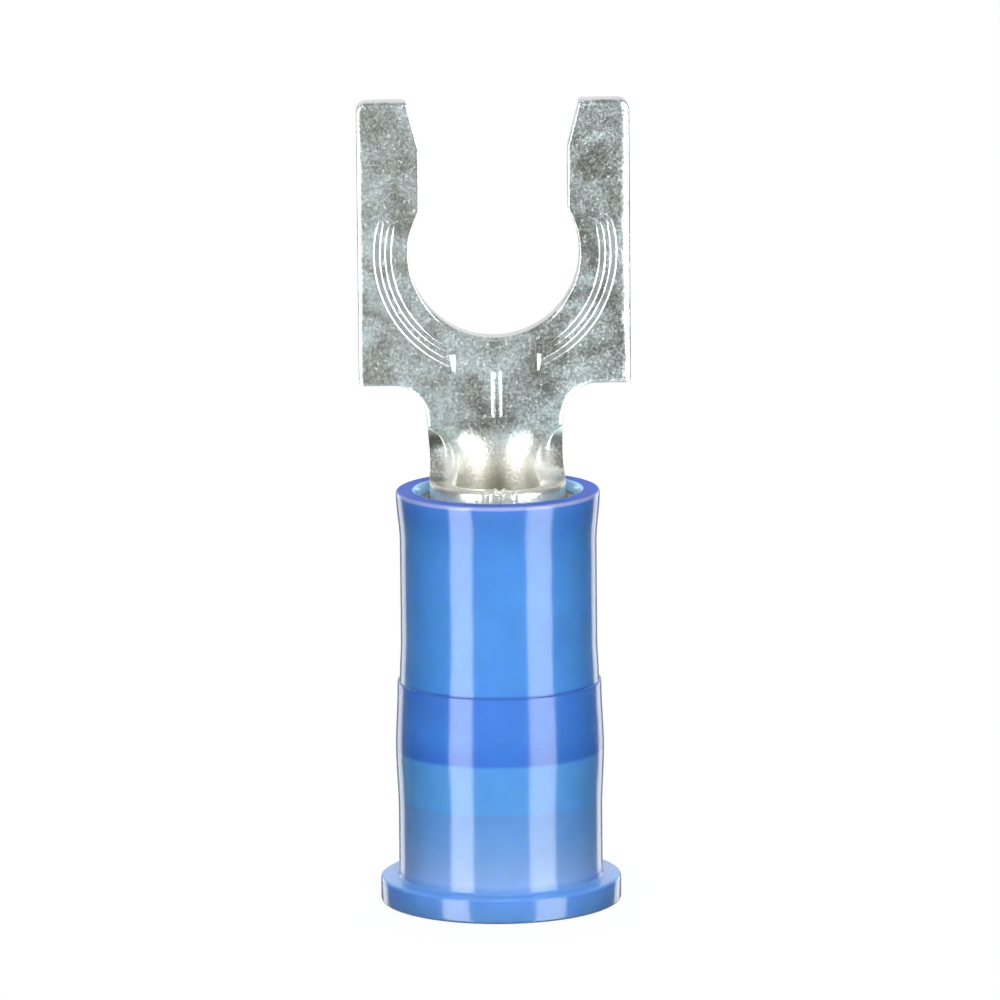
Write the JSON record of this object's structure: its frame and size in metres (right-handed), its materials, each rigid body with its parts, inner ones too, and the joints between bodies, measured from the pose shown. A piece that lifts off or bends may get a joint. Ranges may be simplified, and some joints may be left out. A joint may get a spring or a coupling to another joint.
{
  "type": "fork terminal",
  "caption": "Insulated fork terminal with a flat snap-in fork tongue, a rolled wire barrel, a metal grip sleeve and a flanged blue nylon insulator.",
  "frame": {"origin": "centre of the flange's bottom face, on the barrel's axis", "axes": "+Z along the barrel towards the prongs, +X across the prongs, +Y from the barrel's seam towards the tongue's back face"},
  "size_m": [0.008, 0.0072, 0.0236],
  "materials": {
    "plated_copper": "tin-plated copper, satin and faintly mottled",
    "plated_sleeve": "tin-plated brass, satin",
    "blue_nylon": "moulded nylon, translucent blue, glossy"
  },
  "bodies": {
    "root": {"fork_terminal": "plated_copper", "grip_sleeve": "plated_sleeve", "insulator": "blue_nylon"}
  },
  "joints": []
}
